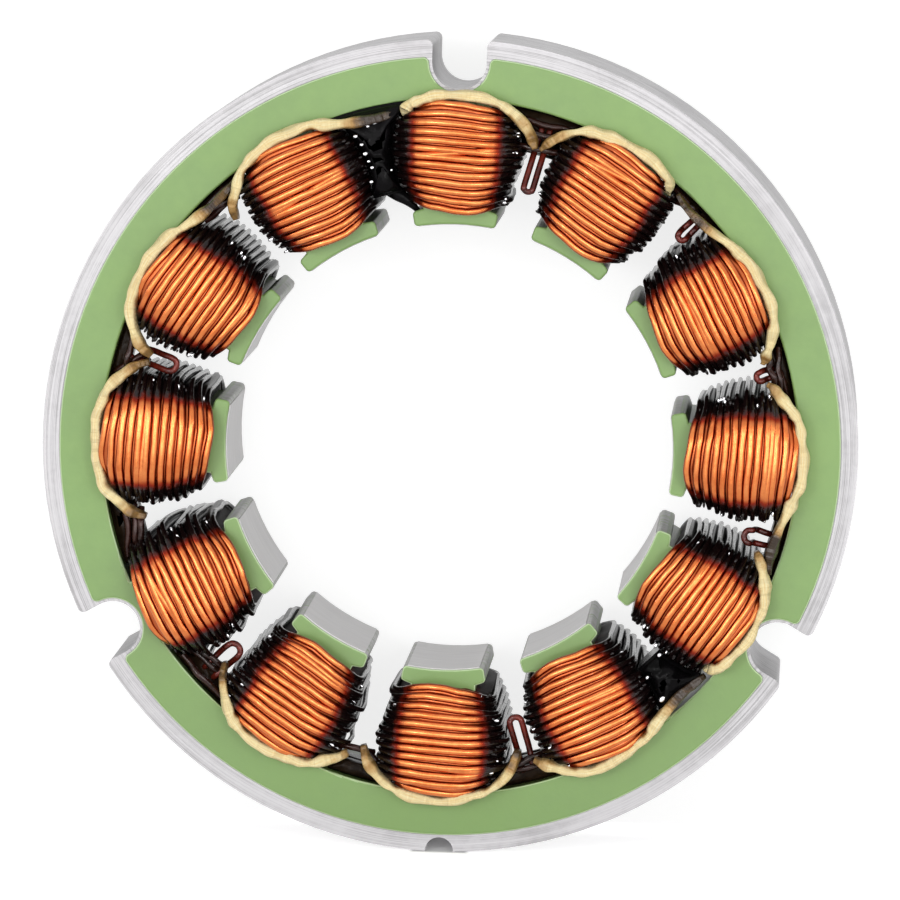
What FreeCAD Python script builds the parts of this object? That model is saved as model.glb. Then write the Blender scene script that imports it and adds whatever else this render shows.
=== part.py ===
import FreeCAD, Part
import math
import os
import Sketcher
from FreeCAD import Vector

doc = FreeCAD.newDocument("FramelessStator")
sheet = doc.addObject("Spreadsheet::Sheet", "Dims")

DIMENSIONS = [
    ("outer_dia", 60.0, "bonded stack, outside"),
    ("stack_length", 14.0, "bonded stack, along the axis"),
    ("bore_dia", 32.8, "between opposite tooth faces"),
    ("yoke_width", 4.1, "yoke, outside to inside"),
    ("slot_count", 12, "teeth, windings and slots"),
    ("tooth_width", 4.2, "bare tooth under a winding"),
    ("shoe_width", 5.7, "bare shoe on its winding side"),
    ("tip_width", 5.3, "bare shoe at the bore"),
    ("shoe_depth", 0.55, "shoe edge, bore to winding side"),
    ("neck_depth", 0.85, "bore to where shoe meets tooth"),
    ("notch_count", 3, "screw notches round the outside"),
    ("notch_width", 4.0, "screw notch"),
    ("notch_floor", 0.4, "steel left between a screw notch and the inside of the yoke"),
    ("notch_corner", 0.45, "rounding where a notch meets the outside"),
    ("index_radius", 1.05, "half round index notch"),
    ("coat_thickness", 0.3, "powder coat"),
    ("coat_margin", 1.25, "bare steel outside the masked edge of the coat"),
    ("coat_setback", 0.22, "coat edge from a notch"),
    ("bore_setback", 0.06, "coat edge from the tooth faces at the bore"),
    ("coat_lip", 0.18, "rounding of the coat edge"),
    ("turn_count", 13, "turns in the outer layer of a winding"),
    ("wire_dia", 0.56, "enamelled wire"),
    ("winding_gap", 0.1, "winding ends to shoe and yoke"),
    ("slot_gap", 2.34, "free slot between two windings where they are fullest"),
    ("winding_crown", 3.0, "greatest height over the coated end"),
    ("shoe_taper", 1.3, "thickness lost towards the shoe"),
    ("yoke_taper", 1.3, "thickness lost towards the yoke"),
    ("tape_thickness", 0.65, "crossover tape"),
    ("tape_height", 1.9, "crossover tape, on edge"),
    ("tape_gap", 0.12, "tape to the winding that it goes round"),
    ("varnish_sink", 0.75, "slot varnish below the end face of the stack"),
]

for row, (alias, value, note) in enumerate(DIMENSIONS, start=1):
    sheet.set(f"A{row}", alias)
    sheet.set(f"B{row}", str(value))
    sheet.set(f"C{row}", note)
    sheet.setAlias(f"B{row}", alias)
doc.recompute()


def dim(alias):
    return float(sheet.get(alias))


# Diameters and depth that follow from the sheet: formula and present value.
YOKE_DIA = "(Dims.outer_dia - 2 * Dims.yoke_width)"
COAT_DIA = "(Dims.outer_dia - 2 * Dims.coat_margin)"
NOTCH_DEPTH = "(Dims.yoke_width - Dims.notch_floor)"
yoke_dia = dim("outer_dia") - 2 * dim("yoke_width")
coat_dia = dim("outer_dia") - 2 * dim("coat_margin")
notch_depth = dim("yoke_width") - dim("notch_floor")


def origin_plane(body, role):
    return next(item for item in body.Origin.OriginFeatures if item.Role == role)


def new_sketch(body, name, sink="0"):
    """Sketch on the body's own XY plane, lowered by the sheet formula sink."""
    sketch = body.newObject("Sketcher::SketchObject", name)
    sketch.AttachmentSupport = [(origin_plane(body, "XY_Plane"), "")]
    sketch.MapMode = "FlatFace"
    sketch.setExpression("AttachmentOffset.Base.z", f"-({sink})")
    return sketch


def drive(sketch, constraint, formula):
    """Add a dimension to the sketch and bind it to a formula of the sheet."""
    index = sketch.addConstraint(constraint)
    sketch.setExpression(f"Constraints[{index}]", formula)


def close_loop(sketch, first, count):
    for step in range(count):
        here, after = first + step, first + (step + 1) % count
        sketch.addConstraint(Sketcher.Constraint("Coincident", here, 2, after, 1))


def draw_circle(sketch, diameter, formula):
    circle = sketch.addGeometry(Part.Circle(Vector(), Vector(0, 0, 1), diameter / 2), False)
    sketch.addConstraint(Sketcher.Constraint("Coincident", circle, 3, -1, 1))
    drive(sketch, Sketcher.Constraint("Diameter", circle, diameter), formula)


def draw_tooth(sketch, grow, grow_formula, setback, setback_formula, root, root_formula):
    """One tooth with its shoe, symmetrical about +Y, grown on all but the bore face."""
    bore = dim("bore_dia") / 2 + setback
    tooth, shoe, tip = (dim(name) / 2 + grow for name in ("tooth_width", "shoe_width", "tip_width"))
    edge = dim("bore_dia") / 2 + dim("shoe_depth") + grow
    neck = dim("bore_dia") / 2 + dim("neck_depth") + grow
    tip_y = math.sqrt(bore**2 - tip**2)
    right = [Vector(tooth, root), Vector(tooth, neck), Vector(shoe, edge), Vector(tip, tip_y)]
    left = [Vector(-point.x, point.y) for point in reversed(right)]
    start = math.atan2(tip_y, tip)
    arc = Part.ArcOfCircle(Part.Circle(Vector(), Vector(0, 0, 1), bore), start, math.pi - start)
    lines = [Part.LineSegment(a, b) for a, b in zip(right, right[1:])]
    lines += [arc]
    lines += [Part.LineSegment(a, b) for a, b in zip(left, left[1:])]
    lines += [Part.LineSegment(left[-1], right[0])]
    sketch.addGeometry(lines, False)
    close_loop(sketch, 0, 8)
    add = sketch.addConstraint
    add(Sketcher.Constraint("Coincident", 3, 3, -1, 1))
    add(Sketcher.Constraint("Vertical", 0))
    add(Sketcher.Constraint("Symmetric", 7, 1, 7, 2, -2))
    add(Sketcher.Constraint("Symmetric", 0, 2, 6, 1, -2))
    add(Sketcher.Constraint("Symmetric", 1, 2, 4, 2, -2))
    twice = f"2 * {grow_formula}"
    half_tip = f"Dims.tip_width / 2 + {grow_formula}"
    drive(sketch, Sketcher.Constraint("Radius", 3, bore), f"Dims.bore_dia / 2 + {setback_formula}")
    drive(sketch, Sketcher.Constraint("DistanceX", 7, 1, 7, 2, 2 * tooth), f"Dims.tooth_width + {twice}")
    drive(sketch, Sketcher.Constraint("DistanceX", 4, 2, 1, 2, 2 * shoe), f"Dims.shoe_width + {twice}")
    drive(sketch, Sketcher.Constraint("DistanceX", -1, 1, 3, 1, tip), half_tip)
    drive(sketch, Sketcher.Constraint("DistanceX", 3, 2, -1, 1, tip), half_tip)
    drive(sketch, Sketcher.Constraint("DistanceY", -1, 1, 7, 2, root), root_formula)
    drive(sketch, Sketcher.Constraint("DistanceY", -1, 1, 0, 2, neck),
          f"Dims.bore_dia / 2 + Dims.neck_depth + {grow_formula}")
    drive(sketch, Sketcher.Constraint("DistanceY", -1, 1, 1, 2, edge),
          f"Dims.bore_dia / 2 + Dims.shoe_depth + {grow_formula}")


def draw_notch(sketch, grow, grow_formula):
    """U notch open to the outside at +Y, grown all round by grow."""
    half = dim("notch_width") / 2 + grow
    centre = dim("outer_dia") / 2 - notch_depth + dim("notch_width") / 2
    top = dim("outer_dia") / 2 + notch_depth
    middle = Vector(0, centre)
    bowl = Part.ArcOfCircle(Part.Circle(middle, Vector(0, 0, 1), half), math.pi, 2 * math.pi)
    corners = [Vector(half, centre), Vector(half, top), Vector(-half, top), Vector(-half, centre)]
    sketch.addGeometry([bowl] + [Part.LineSegment(a, b) for a, b in zip(corners, corners[1:])], False)
    close_loop(sketch, 0, 4)
    add = sketch.addConstraint
    add(Sketcher.Constraint("PointOnObject", 0, 3, -2))
    add(Sketcher.Constraint("Vertical", 1))
    add(Sketcher.Constraint("Vertical", 3))
    add(Sketcher.Constraint("Horizontal", 2))
    add(Sketcher.Constraint("Horizontal", 0, 1, 0, 3))
    add(Sketcher.Constraint("Horizontal", 0, 3, 0, 2))
    drive(sketch, Sketcher.Constraint("Radius", 0, half), f"Dims.notch_width / 2 + {grow_formula}")
    drive(sketch, Sketcher.Constraint("DistanceY", -1, 1, 0, 3, centre),
          f"Dims.outer_dia / 2 - {NOTCH_DEPTH} + Dims.notch_width / 2")
    drive(sketch, Sketcher.Constraint("DistanceY", -1, 1, 1, 2, top),
          f"Dims.outer_dia / 2 + {NOTCH_DEPTH}")


def pad(body, sketch, name, length_formula):
    feature = body.newObject("PartDesign::Pad", name)
    feature.Profile = sketch
    feature.setExpression("Length", length_formula)
    doc.recompute()
    return feature


def pocket_through(body, sketch, name):
    feature = body.newObject("PartDesign::Pocket", name)
    feature.Profile = sketch
    feature.Type = "ThroughAll"
    feature.Midplane = True
    doc.recompute()
    return feature


def pattern(body, feature, sketch, name, count_formula):
    polar = body.newObject("PartDesign::PolarPattern", name)
    polar.Originals = [feature]
    polar.Axis = (sketch, ["N_Axis"])
    polar.Angle = 360
    polar.setExpression("Occurrences", count_formula)
    body.Tip = polar
    doc.recompute()
    return polar


def round_edges(body, name, chosen, radius_formula):
    """Round every edge of the body's present tip for which chosen(edge) is true."""
    base = body.Tip
    edges = [f"Edge{i}" for i, edge in enumerate(base.Shape.Edges, start=1) if chosen(edge)]
    feature = body.newObject("PartDesign::Fillet", name)
    feature.Base = (base, edges)
    feature.setExpression("Radius", radius_formula)
    body.Tip = feature
    doc.recompute()
    return feature


def at_mouth(diameter):
    """Test for the upright edges where the screw notches meet a diameter."""
    def chosen(edge):
        ends = [vertex.Point for vertex in edge.Vertexes]
        if len(ends) != 2 or abs(ends[0].z - ends[1].z) < dim("stack_length") / 2:
            return False
        middle = (ends[0] + ends[1]) / 2
        on_outside = abs(math.hypot(middle.x, middle.y) - diameter / 2) < 0.01
        return on_outside and abs(middle.x) > dim("index_radius") * 1.2
    return chosen


def at_shoe(edge):
    """Test for the upright edges of the coat at the shoe and the bore."""
    ends = [vertex.Point for vertex in edge.Vertexes]
    if len(ends) != 2 or abs(ends[0].z - ends[1].z) < dim("stack_length") / 2:
        return False
    beside = dim("tooth_width") / 2 + dim("coat_thickness") * 1.2
    return abs(ends[0].x + ends[1].x) / 2 > beside


def on_coat_end(edge):
    """Test for the edges that lie in one of the two end faces of the coat."""
    levels = (-dim("coat_thickness"), dim("stack_length") + dim("coat_thickness"))
    middle = edge.valueAt((edge.FirstParameter + edge.LastParameter) / 2)
    heights = [middle.z] + [vertex.Z for vertex in edge.Vertexes]
    return any(all(abs(z - level) < 1e-4 for z in heights) for level in levels)


def cut_notches(body, grow):
    sketch = new_sketch(body, body.Name + "_notch")
    draw_notch(sketch, *grow)
    notch = pocket_through(body, sketch, body.Name + "_one_notch")
    pattern(body, notch, sketch, body.Name + "_notches", "Dims.notch_count")


none = (0.0, "0")
coat = (dim("coat_thickness"), "Dims.coat_thickness")
back = (dim("coat_setback"), "Dims.coat_setback")
bore_back = (dim("bore_setback"), "Dims.bore_setback")

stack = doc.addObject("PartDesign::Body", "lamination_stack")
yoke_sketch = new_sketch(stack, "yoke_ring")
draw_circle(yoke_sketch, dim("outer_dia"), "Dims.outer_dia")
draw_circle(yoke_sketch, yoke_dia, YOKE_DIA)
pad(stack, yoke_sketch, "yoke", "Dims.stack_length")
tooth_sketch = new_sketch(stack, "tooth_profile")
draw_tooth(tooth_sketch, *none, *none, yoke_dia / 2 + dim("yoke_width") / 4,
           f"{YOKE_DIA} / 2 + Dims.yoke_width / 4")
one_tooth = pad(stack, tooth_sketch, "one_tooth", "Dims.stack_length")
pattern(stack, one_tooth, tooth_sketch, "teeth", "Dims.slot_count")
cut_notches(stack, none)
index_sketch = new_sketch(stack, "index_notch_circle")
index_circle = index_sketch.addGeometry(
    Part.Circle(Vector(0, -dim("outer_dia") / 2), Vector(0, 0, 1), dim("index_radius")), False)
index_sketch.addConstraint(Sketcher.Constraint("PointOnObject", index_circle, 3, -2))
drive(index_sketch, Sketcher.Constraint("Radius", index_circle, dim("index_radius")), "Dims.index_radius")
drive(index_sketch, Sketcher.Constraint("DistanceY", index_circle, 3, -1, 1, dim("outer_dia") / 2),
      "Dims.outer_dia / 2")
pocket_through(stack, index_sketch, "index_notch")
round_edges(stack, "notch_mouths", at_mouth(dim("outer_dia")), "Dims.notch_corner")

COAT_LENGTH = "Dims.stack_length + 2 * Dims.coat_thickness"
coat_ring = doc.addObject("PartDesign::Body", "coat_ring")
coat_sketch = new_sketch(coat_ring, "coat_ring_circles", coat[1])
draw_circle(coat_sketch, coat_dia, COAT_DIA)
draw_circle(coat_sketch, yoke_dia - 2 * coat[0], f"{YOKE_DIA} - 2 * Dims.coat_thickness")
pad(coat_ring, coat_sketch, "coat_yoke", COAT_LENGTH)
cut_notches(coat_ring, back)
round_edges(coat_ring, "coat_mouths", at_mouth(coat_dia), "Dims.notch_corner")
round_edges(coat_ring, "coat_ring_lips", on_coat_end, "Dims.coat_lip")

coat_tooth = doc.addObject("PartDesign::Body", "coat_tooth")
coat_tooth_sketch = new_sketch(coat_tooth, "coat_tooth_profile", coat[1])
coat_root = yoke_dia / 2 + (dim("notch_floor") - coat[0] - back[0]) / 2
draw_tooth(coat_tooth_sketch, *coat, *bore_back, coat_root,
           f"{YOKE_DIA} / 2 + (Dims.notch_floor - Dims.coat_thickness - Dims.coat_setback) / 2")
pad(coat_tooth, coat_tooth_sketch, "coat_one_tooth", COAT_LENGTH)
round_edges(coat_tooth, "coat_tooth_corners", at_shoe, "Dims.coat_thickness")
round_edges(coat_tooth, "coat_tooth_lips", on_coat_end, "Dims.coat_lip")

SLOTS = round(dim("slot_count"))
STEP = 360 / SLOTS


def turned(shape, turns):
    """Copy of a shape turned clockwise about the axis by a number of slot steps."""
    copy = shape.copy()
    copy.rotate(Vector(), Vector(0, 0, -1), STEP * turns)
    return copy


insulation = doc.addObject("Part::Feature", "insulation_coat")
coat_teeth = [turned(coat_tooth.Shape, k) for k in range(SLOTS)]
insulation.Shape = coat_ring.Shape.multiFuse(coat_teeth).cut(stack.Shape)


class Winding:
    """Outside of one winding, described round the +Y tooth by a single law.

    Every section across the tooth is the same twelve sided outline moved in or
    out by one amount, so each strip between two sections stays flat.
    """

    NORMALS = [math.radians(30 * step) for step in range(12)]

    def __init__(self):
        bore, thick = dim("bore_dia") / 2, dim("coat_thickness")
        self.inner = bore + dim("neck_depth") + thick + dim("winding_gap")
        self.outer = yoke_dia / 2 - thick - 3 * dim("winding_gap")
        self.turns = round(dim("turn_count"))
        self.pitch = (self.outer - self.inner) / self.turns
        self.hole_x = dim("tooth_width") / 2 + thick
        self.hole_z = dim("stack_length") / 2 + thick
        self.fullest = 0.6
        widest = self.inner + self.fullest * (self.outer - self.inner)
        half_step = math.radians(STEP / 2)
        self.half_width = (widest * math.sin(half_step) - dim("slot_gap") / 2) / math.cos(half_step)
        self.half_height = self.hole_z + dim("winding_crown")
        self.ridge = dim("wire_dia") * 0.2
        self.corner = max(dim("shoe_taper"), dim("yoke_taper")) + 2 * dim("wire_dia")

    def shrink(self, share):
        """Inward move of the outline at a share of the way from shoe to yoke."""
        if share < self.fullest:
            return dim("shoe_taper") * (1 - share / self.fullest) ** 2
        return dim("yoke_taper") * ((share - self.fullest) / (1 - self.fullest)) ** 4

    def flank(self, share):
        """Half width at the crest of the turns."""
        return self.half_width - self.shrink(share)

    def reach(self, angle):
        """Distance of one side of the full outline from the tooth centre."""
        side, rise = abs(math.cos(angle)), abs(math.sin(angle))
        return (self.half_width - self.corner) * side + (self.half_height - self.corner) * rise + self.corner

    def outline(self, radius, move):
        sides = [(math.cos(a), math.sin(a), self.reach(a) - move) for a in self.NORMALS]
        points = []
        for (c1, s1, d1), (c2, s2, d2) in zip(sides, sides[1:] + sides[:1]):
            det = c1 * s2 - c2 * s1
            x, z = (d1 * s2 - d2 * s1) / det, (c1 * d2 - c2 * d1) / det
            points.append(Vector(x, radius, z + dim("stack_length") / 2))
        return points

    def sections(self):
        rings = []
        for step in range(2 * self.turns + 1):
            share = step / (2 * self.turns)
            groove = 0 if step % 2 else self.ridge
            radius = self.inner + share * (self.outer - self.inner)
            rings.append(self.outline(radius, self.shrink(share) + groove))
        return rings

    def solid(self):
        rings = self.sections()
        faces = []
        for low, high in zip(rings, rings[1:]):
            for k in range(len(low)):
                after = (k + 1) % len(low)
                corners = [low[k], low[after], high[after], high[k], low[k]]
                faces.append(Part.Face(Part.makePolygon(corners)))
        for ring in (rings[0], rings[-1]):
            faces.append(Part.Face(Part.makePolygon(ring + ring[:1])))
        body = Part.makeSolid(Part.makeShell(faces))
        if body.Volume < 0:
            body = body.reversed()
        past = 2 * self.pitch
        corner = Vector(-self.hole_x, self.inner - past, dim("stack_length") / 2 - self.hole_z)
        depth = self.outer - self.inner + 2 * past
        return body.cut(Part.makeBox(2 * self.hole_x, depth, 2 * self.hole_z, corner))


winding = Winding()
PLACES = "create(<<placement>>; create(<<vector>>; 0; 0; 0); create(<<rotation>>; " \
         "create(<<vector>>; 0; 0; -1); 360 / Dims.slot_count * {turns}))"


def place_round(name, shape, turns):
    """Add a shape drawn at +Y, turned clockwise by a number of slot steps."""
    feature = doc.addObject("Part::Feature", name)
    feature.Shape = shape
    feature.setExpression("Placement", PLACES.format(turns=turns))
    return feature


winding_solid = winding.solid()
coils = [place_round(f"coil_{k + 1:02d}", winding_solid.copy(), k) for k in range(SLOTS)]


def tape_solid():
    """Tape on edge round the yoke side of an end turn, on to the middle of both slots."""
    thick, gap = dim("tape_thickness"), dim("tape_gap")
    floor = dim("stack_length") + dim("coat_thickness")
    bend = winding.hole_x * 0.875
    corner_x, corner_y = winding.half_width + gap - bend, winding.outer + gap - bend
    half_step = math.radians(STEP / 2)
    away = Vector(math.sqrt(0.5), -math.sqrt(0.5), 0)
    aside = Vector(math.cos(half_step), -math.sin(half_step), 0)

    def rim(extra):
        reach = bend + extra
        slant = reach * math.sqrt(0.5)
        leaving = Vector(corner_x + slant, corner_y + slant, floor)
        run = (-gap / 2 - leaving.dot(aside)) / away.dot(aside)
        early = math.radians(67.5)
        return [leaving + away * run, leaving,
                Vector(corner_x + reach * math.cos(early), corner_y + reach * math.sin(early), floor),
                Vector(corner_x, corner_y + reach, floor), Vector(0, corner_y + reach + gap, floor)]

    def mirrored(points):
        return [Vector(-p.x, p.y, p.z) for p in points]

    def edges(points):
        end, leaving, early, level, crest = points
        left = mirrored(points)
        return [Part.LineSegment(end, leaving), Part.Arc(leaving, early, level),
                Part.Arc(level, crest, left[3]), Part.Arc(left[3], left[2], left[1]),
                Part.LineSegment(left[1], left[0])]

    inner, outer = rim(0), rim(thick)
    caps = [Part.LineSegment(inner[0], outer[0]), Part.LineSegment(mirrored(inner)[0], mirrored(outer)[0])]
    outline = [curve.toShape() for curve in edges(inner) + edges(outer) + caps]
    return Part.Face(Part.Wire(Part.__sortEdges__(outline))).extrude(Vector(0, 0, dim("tape_height")))


UNTAPED = 8
tape = tape_solid()
tapes = {k: place_round(f"crossover_tape_{k + 1:02d}", tape.copy(), k)
         for k in range(SLOTS) if k != UNTAPED}


def tube(points, diameter, closed_sides=6):
    """Round wire along straight runs, mitred at each bend."""
    path = Part.makePolygon(points)
    along = (points[1] - points[0]).normalize()
    across = along.cross(Vector(0, 0, 1))
    if across.Length < 0.1:
        across = along.cross(Vector(1, 0, 0))
    across.normalize()
    up = along.cross(across)
    ring = []
    for k in range(closed_sides + 1):
        angle = 2 * math.pi * k / closed_sides
        offset = across * math.cos(angle) + up * math.sin(angle)
        ring.append(points[0] + offset * (diameter / 2))
    return path.makePipeShell([Part.makePolygon(ring)], True, False, 1)


def gap_half(share):
    """Radius and half width of the free slot between two windings."""
    half_step = math.radians(STEP / 2)
    y = winding.inner + share * (winding.outer - winding.inner)
    w = winding.flank(share)
    radius = y * math.cos(half_step) + w * math.sin(half_step)
    return radius, y * math.sin(half_step) - w * math.cos(half_step)


def hairpin(low_share, rise, lean, open_share):
    """Loop of winding wire that leaves the varnish at the yoke and stands out over a slot."""
    wire = dim("wire_dia")
    half = wire * (0.6 + open_share)
    bend = gap_half(low_share)[0] + half
    root = gap_half(ROOT + 0.05)[0]
    level = dim("stack_length") + dim("coat_thickness") + rise * wire
    under = dim("stack_length") + dim("coat_thickness") - dim("tape_gap") - wire
    foot, shift = dim("stack_length") - dim("varnish_sink") - wire, lean * wire
    leg = [Vector(shift - half, root, foot), Vector(shift - half, root - wire, under),
           Vector(shift - half, max(bend + wire / 2, root - dim("tape_thickness") * 2 - wire), under)]
    points = list(leg)
    for k in range(5):
        angle = math.pi + math.pi * k / 4
        points.append(Vector(shift + half * math.cos(angle), bend + half * math.sin(angle), level))
    points += [Vector(2 * shift - p.x, p.y, p.z) for p in reversed(leg)]
    return tube(points, wire)


# Where the varnish at the yoke begins, as a share of the way from shoe to yoke.
ROOT = 0.84

# Slot, share at the bend, then rise, lean and extra width in wires.
LINKS = [
    (0, 0.22, 1.5, 0.25, 0.0),
    (1, 0.62, 0.5, 0.7, 0.0),
    (2, 0.66, 0.4, 0.2, 0.0),
    (3, 0.58, 1.0, -0.35, 0.3),
    (5, 0.30, 1.0, -0.15, 0.2),
    (7, 0.42, 1.0, 0.1, 0.4),
    (9, 0.36, 1.0, 0.1, 0.3),
]
links = {}
for number, (slot, low, rise, lean, spread) in enumerate(LINKS, start=1):
    shape = hairpin(low, rise, lean, spread)
    links[slot] = (shape, place_round(f"link_wire_{number:02d}", shape, slot + 0.5))


def fill(low_share, high_share, bottom, top):
    """Set varnish between two windings, following both their flanks."""
    count = 16 if high_share - low_share > 0.3 else 4
    shares = [low_share + (high_share - low_share) * k / count for k in range(count + 1)]
    right = [(free - dim("winding_gap"), radius) for radius, free in map(gap_half, shares)]
    outline = [Vector(x, y, bottom) for x, y in right]
    outline += [Vector(-x, y, bottom) for x, y in reversed(right)]
    block = Part.Face(Part.makePolygon(outline + outline[:1]))
    return block.extrude(Vector(0, 0, top - bottom))


def clear_of_tapes(shape, slot):
    for offset, neighbour in ((-0.5, slot), (0.5, slot + 1)):
        if neighbour % SLOTS in tapes:
            shape = shape.cut(turned(tape, offset))
    return shape


# Slot, inner and outer end, depth as a share of the stack, rise as one of the crown.
POTTED = [(11, 0.02, 0.97, 0.43, 0.47), (4, 0.42, 0.86, 0.29, 0.5)]
pots = []
for number, (slot, low, high, depth, rise) in enumerate(POTTED, start=1):
    top = dim("stack_length") + dim("coat_thickness") + rise * dim("winding_crown")
    shape = clear_of_tapes(fill(low, high, dim("stack_length") * (1 - depth), top), slot)
    pots.append(place_round(f"slot_potting_{number:02d}", shape, slot + 0.5))

# Slots whose varnish reaches further from the yoke: the others have it from ROOT.
DEEPER = {0: 0.55, 5: 0.74, 7: 0.78, 8: 0.72}
varnishes = []
for slot in range(SLOTS):
    if slot in [row[0] for row in POTTED]:
        continue
    top = dim("stack_length") - dim("varnish_sink")
    shape = fill(DEEPER.get(slot, ROOT), 0.98, top - dim("stack_length") / 4, top)
    if slot in links:
        shape = shape.cut(links[slot][0])
    varnishes.append(place_round(f"root_varnish_{len(varnishes) + 1:02d}", shape, slot + 0.5))

doc.recompute()

nodes = [stack, insulation] + coils + list(tapes.values())
nodes += [link for _, link in links.values()] + pots + varnishes
for item in doc.Objects:
    bad = [word for word in ("Invalid", "Error") if word in item.State]
    if bad:
        raise RuntimeError(f"{item.Name} is {bad[0]}")
for node in nodes:
    if node.Shape.isNull() or not node.Shape.isValid() or not node.Shape.Solids:
        raise RuntimeError(f"{node.Name} has no valid solid")

os.makedirs("parts", exist_ok=True)
for node in nodes:
    node.Shape.exportStep(f"parts/{node.Name}.step")
    print(node.Name, round(node.Shape.Volume, 2), len(node.Shape.Faces), len(node.Shape.Solids))
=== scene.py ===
"""Looks of the frameless stator: dressed frame, wire windings, tapes, links, fills and studio."""

import logging
import math
import random
from dataclasses import dataclass, field
from enum import Enum
from typing import Callable, Sequence

import bmesh
import bpy
from mathutils import Matrix, Vector, noise


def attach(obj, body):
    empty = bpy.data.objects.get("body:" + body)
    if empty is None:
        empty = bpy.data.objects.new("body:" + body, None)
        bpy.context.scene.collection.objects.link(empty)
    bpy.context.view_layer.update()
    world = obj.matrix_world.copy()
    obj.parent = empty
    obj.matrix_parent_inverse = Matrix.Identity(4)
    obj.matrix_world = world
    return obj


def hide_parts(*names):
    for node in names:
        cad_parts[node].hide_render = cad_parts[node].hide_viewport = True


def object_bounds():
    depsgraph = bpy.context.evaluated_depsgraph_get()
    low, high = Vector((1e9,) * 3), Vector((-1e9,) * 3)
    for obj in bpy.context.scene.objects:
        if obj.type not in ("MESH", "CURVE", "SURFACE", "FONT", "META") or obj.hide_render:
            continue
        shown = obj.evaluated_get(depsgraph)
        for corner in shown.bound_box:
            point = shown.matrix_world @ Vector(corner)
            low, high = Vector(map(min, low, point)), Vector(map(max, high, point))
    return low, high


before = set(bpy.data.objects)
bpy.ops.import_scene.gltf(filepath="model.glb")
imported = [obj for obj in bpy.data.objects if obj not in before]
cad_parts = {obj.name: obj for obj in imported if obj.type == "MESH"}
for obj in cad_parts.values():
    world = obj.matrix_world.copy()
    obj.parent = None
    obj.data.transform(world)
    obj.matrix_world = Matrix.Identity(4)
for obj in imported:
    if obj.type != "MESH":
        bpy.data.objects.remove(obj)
cad_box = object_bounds()
log = logging.getLogger("stator")

MM = 0.001
TEETH = 12
HALF_STEP = math.pi / TEETH
WHITE = (1.0, 1.0, 1.0)
Colour = tuple[float, float, float]
Point = tuple[float, float, float]
Socket = bpy.types.NodeSocket
Given = dict[str, Socket]
Material = bpy.types.Material


class Slot(Enum):
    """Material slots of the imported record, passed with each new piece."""

    COPPER = "copper"
    TAPE = "tape"
    LINK = "link"
    POTTING = "potting"


def unit(value: float) -> float:
    """Value held between 0 and 1."""
    return min(1.0, max(0.0, value))


def smooth(low: float, high: float, value: float) -> float:
    """Smooth step from 0 at low to 1 at high."""
    share = unit((value - low) / (high - low))
    return share * share * (3 - 2 * share)


def ripple(x: float, y: float, z: float = 0.0) -> float:
    """Soft noise between about -1 and 1, the same on every run."""
    return noise.noise(Vector((x, y, z)))


def turn_about_axis(position: float) -> Matrix:
    """Matrix that carries a shape from the +Y tooth clockwise to a tooth position.

    Args:
        position: Tooth position counted from 0 at +Y; halves are slots.

    Returns:
        Rotation about the motor axis.
    """
    return Matrix.Rotation(-2 * math.pi * position / TEETH, 4, "Z")


def flowing(points: Sequence[Vector], per_run: int) -> list[Vector]:
    """Points on one smooth line through the given points.

    Args:
        points: Points that the line passes through.
        per_run: Steps between two of them.

    Returns:
        The finer points, first and last kept.
    """
    ends = [points[0] * 2 - points[1], *points, points[-1] * 2 - points[-2]]
    fine: list[Vector] = []
    for k in range(1, len(ends) - 2):
        a, b, c, d = ends[k - 1:k + 3]
        for step in range(per_run):
            t = step / per_run
            fine.append((b * 2 + (c - a) * t + (a * 2 - b * 5 + c * 4 - d) * t * t
                         + (b * 3 - a - c * 3 + d) * t ** 3) / 2)
    return fine + [points[-1].copy()]


def loft(rings: Sequence[Sequence[Vector]]) -> bmesh.types.BMesh:
    """Closed body through rings with the same number of points.

    Args:
        rings: Rings in order along the body.

    Returns:
        A bmesh whose vertices come ring by ring.
    """
    bm = bmesh.new()
    bmesh.ops.create_circle(bm, cap_ends=True, segments=len(rings[0]), radius=1.0)
    bm.faces.ensure_lookup_table()
    face = bm.faces[0]
    for number, ring in enumerate(rings):
        if number:
            grown = bmesh.ops.extrude_face_region(bm, geom=[face])
            face = next(part for part in grown["geom"] if isinstance(part, bmesh.types.BMFace))
        for vertex, place in zip(face.verts, ring):
            vertex.co = place
    bmesh.ops.recalc_face_normals(bm, faces=bm.faces)
    return bm


def placed(name: str, data: bpy.types.ID) -> bpy.types.Object:
    """Add an object to the scene.

    Args:
        name: Its name.
        data: Mesh, curve, lamp or camera that it shows.

    Returns:
        The object, at the origin.
    """
    thing = bpy.data.objects.new(name, data)
    bpy.context.scene.collection.objects.link(thing)
    return thing


def tube_mesh(paths: Sequence[Sequence[Vector]], diameter: float, sides: int = 8,
              girth: Callable[[Vector], float] | None = None) -> bpy.types.Mesh:
    """Round wires along paths, made from a bevelled curve.

    Args:
        paths: Centre lines in millimetres.
        diameter: Wire diameter in millimetres.
        sides: Sides of the wire's section, even, 4 or more.
        girth: Share of the diameter at a point, where it isn't the same all along.

    Returns:
        Mesh in millimetres.
    """
    curve = bpy.data.curves.new("wire_path", "CURVE")
    curve.dimensions = "3D"
    curve.bevel_depth = diameter / 2
    curve.bevel_resolution = (sides - 4) // 2
    curve.use_fill_caps = True
    for path in paths:
        spline = curve.splines.new("POLY")
        spline.points.add(len(path) - 1)
        spline.points.foreach_set("co", [value for p in path for value in (*p, 1.0)])
        if girth:
            spline.points.foreach_set("radius", [girth(p) for p in path])
    carrier = placed("wire_path", curve)
    bpy.context.view_layer.update()
    mesh = bpy.data.meshes.new_from_object(carrier.evaluated_get(bpy.context.evaluated_depsgraph_get()))
    bpy.data.objects.remove(carrier)
    bpy.data.curves.remove(curve)
    return mesh


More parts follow.
